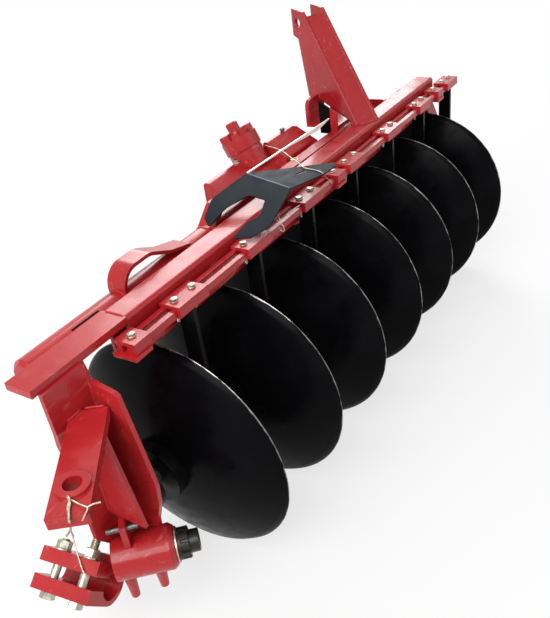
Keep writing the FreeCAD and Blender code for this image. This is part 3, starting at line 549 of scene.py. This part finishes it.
def hub_shape(rim=31.8, nose=22.8, slots=10, deep=4.5):
    """Radius = rim - deep * step(cos(slots a)) between heights 12.5 and 28, and a plain nose."""
    a = np.linspace(0, 2 * pi, 401)
    notch = deep * np.clip((np.cos(slots * a) - 0.35) / 0.25, 0, 1)
    rows = [(6, 0, 0), (6, rim, 0), (11.5, rim, 0), (12.5, rim, 1), (26.5, rim, 1),
            (28, rim - 1.5, 1), (28, nose, 0), (46, nose, 0), (47.5, nose - 2, 0), (47.5, 14, 0),
            (45.5, 13, 0), (45.5, 0, 0)]
    high, radius, cut = (np.array(column, float)[:, None] for column in zip(*rows))
    radius = np.maximum(radius - cut * notch, 0)
    return np.stack([radius * np.cos(a), radius * np.sin(a), high + 0 * a], axis=-1)


spindle = turned([(-50, 0), (-50, 20), (6.5, 20), (6.5, 0)], 48)
hub = piece("wheel_hub", [carried(hub_shape(), HUB, OUT), carried(spindle, HUB, OUT)], FORGED,
            "hub", 30)
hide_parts("tail_hub")
ring = [(1.2, 35.6), (4.4, 35.6), (4.4, 33), (1.2, 33), (1.2, 35.6)]
piece("seal_lip", [carried(turned(ring, 96), HUB, OUT)], ZINC)
print("clamp and hub:", len(clamp_bolts.data.polygons) + len(hub.data.polygons), "faces")

# %% [markdown]
# ## Weld beads
# Plates meet in fillet welds: a rounded bead with ripples every few millimetres, where the pool
# froze step by step.  A circle swept along the seam, its radius rising and falling, gives that.

# %% Beads along the seams
def bead(points, leg=2.5, ripple=3.2):
    """Radius = leg (1 + 0.13 |sin(pi s / ripple)|) along the seam, tapering at both ends."""
    points = np.asarray(points, float)
    way = np.concatenate([[0], np.cumsum(np.linalg.norm(np.diff(points, axis=0), axis=1))])
    s = np.linspace(0, way[-1], max(int(way[-1] / 0.9), 6))
    line = np.stack([np.interp(s, way, column) for column in points.T], axis=1)
    line += 0.3 * np.sin(s / 11.0)[:, None] * np.array([0.6, 0.5, 0.6])
    fade = np.clip(np.minimum(s, way[-1] - s) / 4, 0.25, 1)
    return swept(line, leg * (1 + 0.13 * np.abs(np.sin(pi * s / ripple))) * fade, 8)


beam_low, beam_high = corners_of("main_beam")
nose_low, nose_high = corners_of("nose_plate")
web_low, web_high = corners_of("leg_web")
rib_low, rib_high = corners_of("leg_rib")
top, rear, fore, under = nose_high[2], beam_low[1], beam_high[1], nose_low[2]
SMALL_LEG, LEG_FOOT, BRACKET_WIDE = 2.2, -30, 46
welds = [
    bead([(beam_low[0], rear + 7, top - 1), (beam_low[0], fore - 7, top - 1)], leg=3),
    bead([(web_low[0] + 6, web_high[1], under), (web_high[0], web_high[1], under)]),
    bead([(web_high[0], web_low[1], LEG_FOOT), (web_high[0], web_low[1], under - 3)]),
    bead([(web_high[0], web_high[1], LEG_FOOT), (web_high[0], web_high[1], under - 3)]),
    bead([(rib_low[0], web_low[1], rib_low[2] + 4), (rib_low[0], web_low[1], rib_high[2] - 4)],
         leg=SMALL_LEG)]
for x in (corners_of("rail_brackets")[0][0], 661, 1380):
    for edge in (x, x + BRACKET_WIDE):
        welds.append(bead([(edge, rear - 1, 350), (edge, rear - 26, 350)], leg=SMALL_LEG))
piece("beam_and_leg_welds", welds, RED)
# the mast's foot, the hoops' feet, the props and the end plate
feet = [bead([(976, 10, 401), (989.2, 37, 401)], leg=3),
        bead([(983, 3, 401), (1041, -25, 401)], leg=3.2),
        bead([(1047.9, -25.1, 401), (1061.1, 1.9, 401)], leg=2.5)]
tube_low, tube_high = corners_of("front_tube")
TUBE_Y, TUBE_Z = (tube_low[1] + tube_high[1]) / 2, (tube_low[2] + tube_high[2]) / 2
TUBE_R = (tube_high[2] - tube_low[2]) / 2
HOOP_FEET, HALF_HOOP = (9.5, 212, 306, 510), 23
across = np.linspace(-HALF_HOOP, HALF_HOOP, 13)
for x in HOOP_FEET:
    saddle = np.stack([x + 0 * across, TUBE_Y + across,
                       TUBE_Z + np.sqrt(TUBE_R ** 2 - across ** 2)], axis=1)
    feet.append(bead(saddle, leg=SMALL_LEG))
for x in (1090, 1142):
    feet.append(bead([(x, 176, 391), (x, 186, 391)], leg=SMALL_LEG))
feet += [bead([(988, 174, 391), (1086, 174, 391)]), bead([(1142, 174, 391), (1208, 174, 391)]),
         bead([(1235, 42, 394), (1235, 104, 394)], leg=2),
         bead([(-271, -33.5, 306), (-236, -33.5, 306)]),
         bead([(-233, -36, 306), (-210, -68, 306)]),
         bead([(494, 108, 330), (494, 108, 300)], leg=SMALL_LEG)]
piece("mast_and_hoop_welds", feet, RED)

# %% [markdown]
# ## Guard, strip and painted shade
# The guard sheet is folded over a bar; a rod of paler grey along the fold is a painted highlight.
# A narrow zinc-plated flat stands on edge beside it, in a paler zinc that paints the highlight
# along its lit edge.  A black sheet with a red cheek stands on the tube before the mast's props as
# painted shade between them, and a black rod on the tube paints the shade in its slot.  Each is a
# line or a rectangle carried along a path.

# %% Fold highlight, strip, painted shade sheet and the painted shade of the tube's slot
def flat_bar(x, near, far, low, high):
    """Rectangles from near to far in y and from low to high in z, one at each x and joined along x;
    each end closes on the middle point of its last rectangle."""
    sides = (np.asarray(side, float) for side in (x, near, far, low, high))
    x, near, far, low, high = np.broadcast_arrays(*sides)
    y = np.stack([near, far, far, near, near], axis=1)
    z = np.stack([low, low, high, high, low], axis=1)
    grid = np.stack([np.repeat(x[:, None], 5, axis=1), y, z], axis=-1)
    tips = np.repeat(grid[[0, -1], :4].mean(axis=1, keepdims=True), 5, axis=1)
    return np.concatenate([tips[:1], grid, tips[1:]])


fold = np.linspace((454.6, 43.5, 459.3), (408.0, -102.5, 459.3), 40)
# the rod along the fold carries the paler grey, a painted highlight on the bend
piece("guard_fold", [swept(fold, 1.8, 12)], FOLD_HIGHLIGHT)
strip_low, strip_high = corners_of("side_sheet")
along = np.linspace(0, 1, 42)
STRIP_INSET, STRIP_HALF, STRIP_LONG = 2.5, 1.4, 402
middle = strip_high[1] - STRIP_INSET + along * (strip_low[1] - strip_high[1] + 2 * STRIP_INSET)
dip = np.interp(along * STRIP_LONG, (0, 200, 335, STRIP_LONG), (3, 5, 13, 2))
strip_x = strip_low[0] + along * (strip_high[0] - strip_low[0])
# the strip's paler zinc is a painted highlight along its lit edge
strip = piece("edge_strip", [flat_bar(strip_x, middle - STRIP_HALF, middle + STRIP_HALF,
                                      strip_high[2] - dip, strip_high[2])], ZINC_PAINTED_HIGHLIGHT)
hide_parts("side_sheet")
CROSSWISE = [1, 0, 2]  # x and y change places, so a bar runs across the tube
ON_TUBE = 382.2
# a black sheet put behind the props: painted shade in the gap between them
shade_sheet = flat_bar((81, 116), 946, 949, ON_TUBE, (458, 478))[..., CROSSWISE]
piece("painted_shade_sheet", [shade_sheet], BLACK)
cheek = flat_bar((59, 80.5), 945.6, 951, ON_TUBE, (444, 457))[..., CROSSWISE]
piece("shield_cheek", [cheek], RED)
# a black rod laid on the top of the tube: painted shade standing in for a slot
mark_y, mark_z = TUBE_Y - 12, TUBE_Z + TUBE_R - 3.2
mark = np.linspace((-131, mark_y, mark_z), (-59, mark_y, mark_z), 12)
piece("slot_painted_shade", [swept(mark, 2.6, 12)], BLACK)
print("strip:", len(strip.data.polygons), "faces")

# %% [markdown]
# ## Small parts on the castings
# A gearbox needs a breather high up, and here a bolt beside the input housing; four bolts hold the
# tail bearing.  A cap covers the input shaft while no drive shaft is on it, and a sleeve lines the
# tail arm's bore.  Each is stock hardware, so the same few grids serve again.

# %% Casting bolts, input cap, breather and bore sleeve
INPUT = np.array([690.0, 204.0, 400.0])
OUTWARD = np.array([0.0, cos(radians(64)), sin(radians(64))])
BEARING_X, BOLT_CIRCLE = -180, 68
trims = bolt_head(10, 17, 6.5, (640, 208, 400), (0, 0, 1), spin=0.3)
for j in range(4):
    a = pi / 4 + pi / 2 * j
    spot = (BEARING_X, BOLT_CIRCLE * cos(a), BOLT_CIRCLE * sin(a))
    trims += bolt_head(12, 19, 7.5, spot, (1, 0, 0), spin=j)
piece("casting_bolts", trims, ZINC)
cap = turned([(20, 0), (20, 20.5), (74, 20.5), (76, 19.5), (76, 17), (98, 17), (101, 14),
              (101, 0)], 64)
capped = piece("capped_input_shaft", [carried(cap, INPUT, OUTWARD)], RED, "input")
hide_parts("input_shaft")
breather = turned([(-1, 0), (-1, 5), (3, 5), (3, 8), (7, 8), (7, 7), (9.5, 6), (10, 4),
                   (10, 0)], 32)
piece("breather_cap", [carried(breather, (830, 175, 424))], TURNED)
BORE_LINE = np.array([-374.5, -153.7, 0])
sleeve = [(262, 16.3), (262, 25), (264, 26.5), (285, 26.5), (285, 16.3), (262, 16.3)]
piece("bore_sleeve", [carried(turned(sleeve, 64), BORE_LINE)], RED)
print("castings:", len(trims) // 2, "bolts, cap, breather and sleeve")

# %% [markdown]
# ## Tie wires
# Thin soft wire holds loose parts for transport.  It is cut, bent round by hand and twisted, so it
# lies in uneven curves; a smooth line through a few points gives the bends.

# %% Wires on the tail arm and over the guard
def wire(points, count=80, thick=2.6):
    """A thin swept circle along a smooth line through the points."""
    return swept(smooth_line(points, count), thick / 2, 8)


STOUT, FINE, LOOP = 3.4, 2.4, 2.2  # thickness of each wire
wires = [
    wire([(-389, -155, 296), (-397, -167, 310), (-402, -177, 312), (-411, -181, 308),
          (-418, -189, 307.5), (-425, -197, 305), (-426, -197, 299), (-386, -121, 208),
          (-351, -54, 128), (-318, 16, 47), (-308, 47, 8), (-301, 62, -7), (-290, 66, -12)],
         130, STOUT),
    wire([(-392, -158, 300), (-399, -170, 311), (-405, -180, 309.5), (-414, -187, 308.5),
          (-427, -198, 303), (-388, -124, 207), (-353, -57, 126), (-314, 13, 32),
          (-305, 31, 16), (-312, 24, 6), (-322, 10, -8), (-330, -2, -15), (-336, -11, -20),
          (-341, -20, -25), (-337, -22, -31)], 130, STOUT),
    wire([(-400, -173, 309), (-399, -182, 308.5), (-399, -191, 307.5), (-399, -198, 308),
          (-398, -208, 308), (-390, -214, 309), (-382, -221, 308)]),
    wire([(-399, -203, 309), (-400, -211, 308), (-410, -216, 308), (-420, -220, 307.5)])]
piece("arm_tie_wires", wires, WIRE)
upper = [
    wire([(747, 227, 401), (756, 230, 402), (770, 227, 404), (792, 229, 405), (778, 214, 404),
          (758, 215, 402), (765, 205, 402), (732, 173, 417), (731, 149, 414), (731, 133, 411),
          (714, 111, 415), (660, 84, 440), (588, 17, 463), (570, -6, 463), (554, -29, 463),
          (537, -51, 463), (514, -80, 463), (512, -103, 461.5), (508, -119, 461.5),
          (502, -133, 461), (507, -137, 455), (536, -119, 440), (590, -92, 408),
          (630, -76, 386), (645, -76, 369)], 240, FINE),
    wire([(560, -26, 463), (546, -24, 465), (552, -38, 464), (566, -30, 463),
          (556, -18, 463)], 40, LOOP),
    wire([(333, -69, 430), (333, -81, 427), (336, -94, 420), (357, -92, 419), (348, -104, 416),
          (338, -111, 416), (372, -102, 404), (412, -90, 396), (452, -80, 386),
          (492, -71, 376)], 140, FINE),
    wire([(337, -104, 400), (332, -116, 393), (340, -118, 389), (348, -112, 396),
          (341, -104, 410), (346, -90, 416), (354, -80, 421)], 90, FINE)]
piece("guard_tie_wires", upper, WIRE)
print("wires:", len(wires) + len(upper))

# %% [markdown]
# ## Floor, lamps and camera
# A pale floor runs far behind the plough.  One very large soft panel stands beyond it, which the
# flat tops mirror; a second hangs to the left, and a weak one lights the rear side.  The world adds
# a low even light, and is white wherever the camera or a mirror-like surface looks into it.

# %% The lamps and the world
def area_lamp(name, place, aim, size, watts):
    """A soft rectangular lamp that looks from its place to its aim, both in metres."""
    lamp = bpy.data.lights.new(name, "AREA")
    lamp.shape, lamp.size, lamp.size_y, lamp.energy = "RECTANGLE", *size, watts
    thing = bpy.data.objects.new(name, lamp)
    thing.location = Vector(place)
    thing.rotation_euler = (Vector(aim) - Vector(place)).to_track_quat("-Z", "Y").to_euler()
    bpy.context.collection.objects.link(thing)


area_lamp("panel_beyond", (3.6, 2.6, 3.2), (0.0, 0.0, 0.4), (3.4, 3.2), 210)
area_lamp("key_left", (-3.2, -0.6, 3.4), (-0.2, 0.0, 0.3), (3.2, 3.2), 200)
area_lamp("rear_fill", (1.2, -3.8, 1.8), (0.1, 0.0, 0.5), (3.0, 2.4), 25)

world = bpy.data.worlds.new("studio")
bpy.context.scene.world = world
world.use_nodes = True
sky = world.node_tree
sky.nodes.clear()
ray = add(sky, "ShaderNodeLightPath")
seen = add(sky, "ShaderNodeMath", {"operation": "MAXIMUM"},
           {0: ray.outputs["Is Camera Ray"], 1: ray.outputs["Is Glossy Ray"]})
seen = add(sky, "ShaderNodeMath", {"operation": "MAXIMUM"},
           {0: seen, 1: ray.outputs["Is Transmission Ray"]})
strength = add(sky, "ShaderNodeMapRange", {"To Min": 0.2, "To Max": 1.0}, {"Value": seen})
glow = add(sky, "ShaderNodeBackground", {"Color": (1, 1, 1, 1)}, {"Strength": strength})
add(sky, "ShaderNodeOutputWorld", links={"Surface": glow})
print("lamps:", len(bpy.data.lights))

# %% [markdown]
# ### The floor
# Matt white paper alone would look grey under these lamps.  So it is mixed with plain white where
# it is looked at, more of it further away, and the paper's own share keeps the plough's shadow.

# %% The floor, white to the camera but with the plough's shadow
HALF_FLOOR = 40.0
paper = bpy.data.materials.new("white_studio_paper")
paper.use_nodes = True
tree = paper.node_tree
tree.nodes.clear()
ray = add(tree, "ShaderNodeLightPath")
seen = add(tree, "ShaderNodeMath", {"operation": "MAXIMUM"},
           {0: ray.outputs["Is Camera Ray"], 1: ray.outputs["Is Glossy Ray"]})
own = add(tree, "ShaderNodeTexCoord").outputs["Object"]
away = add(tree, "ShaderNodeVectorMath", {"operation": "LENGTH"}, {0: own})
glare = add(tree, "ShaderNodeMapRange", {"From Min": 1.2, "From Max": 5.0, "To Min": 0.72,
                                         "To Max": 1.0}, {"Value": away})
share = add(tree, "ShaderNodeMath", {"operation": "MULTIPLY"}, {0: seen, 1: glare})
matt = add(tree, "ShaderNodeBsdfDiffuse", {"Color": linear("#F4F4F4")})
white = add(tree, "ShaderNodeEmission", {"Color": (1, 1, 1, 1), "Strength": 1.0})
both = add(tree, "ShaderNodeMixShader", {}, {"Fac": share, 1: matt, 2: white})
add(tree, "ShaderNodeOutputMaterial", links={"Surface": both})
floor_mesh = bpy.data.meshes.new("floor")
corners = HALF_FLOOR * np.array([(-1, -1, 0), (1, -1, 0), (1, 1, 0), (-1, 1, 0)])
floor_mesh.from_pydata(corners.tolist(), [], [(0, 1, 2, 3)])
floor_mesh.materials.append(paper)
floor = bpy.data.objects.new("floor", floor_mesh)
bpy.context.collection.objects.link(floor)
print(f"floor: {2 * HALF_FLOOR:.0f} m square")

# %% [markdown]
# ### Camera
# The plough is seen from behind its tail end, from about head height, with the camera tipped a
# little to one side.

# %% Camera from its place, its view line and its roll
eye = ZERO + np.array([-0.8089, -0.8933, 1.0651])
look, right = np.array([0.68566, 0.49503, -0.53368]), np.array([0.5854, -0.8108, 0])
roll = radians(8.2)
lift = np.cross(right, look)
right, lift = right * cos(roll) - lift * sin(roll), lift * cos(roll) + right * sin(roll)
lens = bpy.data.cameras.new("camera")
lens.lens, lens.sensor_width, lens.sensor_fit = 40.63, 36.0, "AUTO"
lens.clip_start, lens.clip_end = 0.05, 200.0
camera = bpy.data.objects.new("camera", lens)
pose = np.eye(4)
pose[:3] = np.column_stack([right, lift, -look, eye])
camera.matrix_world = Matrix(pose.tolist())
bpy.context.collection.objects.link(camera)
bpy.context.scene.camera = camera
bpy.context.scene.view_settings.view_transform = "Standard"
print(f"camera: {np.linalg.norm(eye - ZERO):.2f} m from the first disc, lens {lens.lens:.1f} mm")
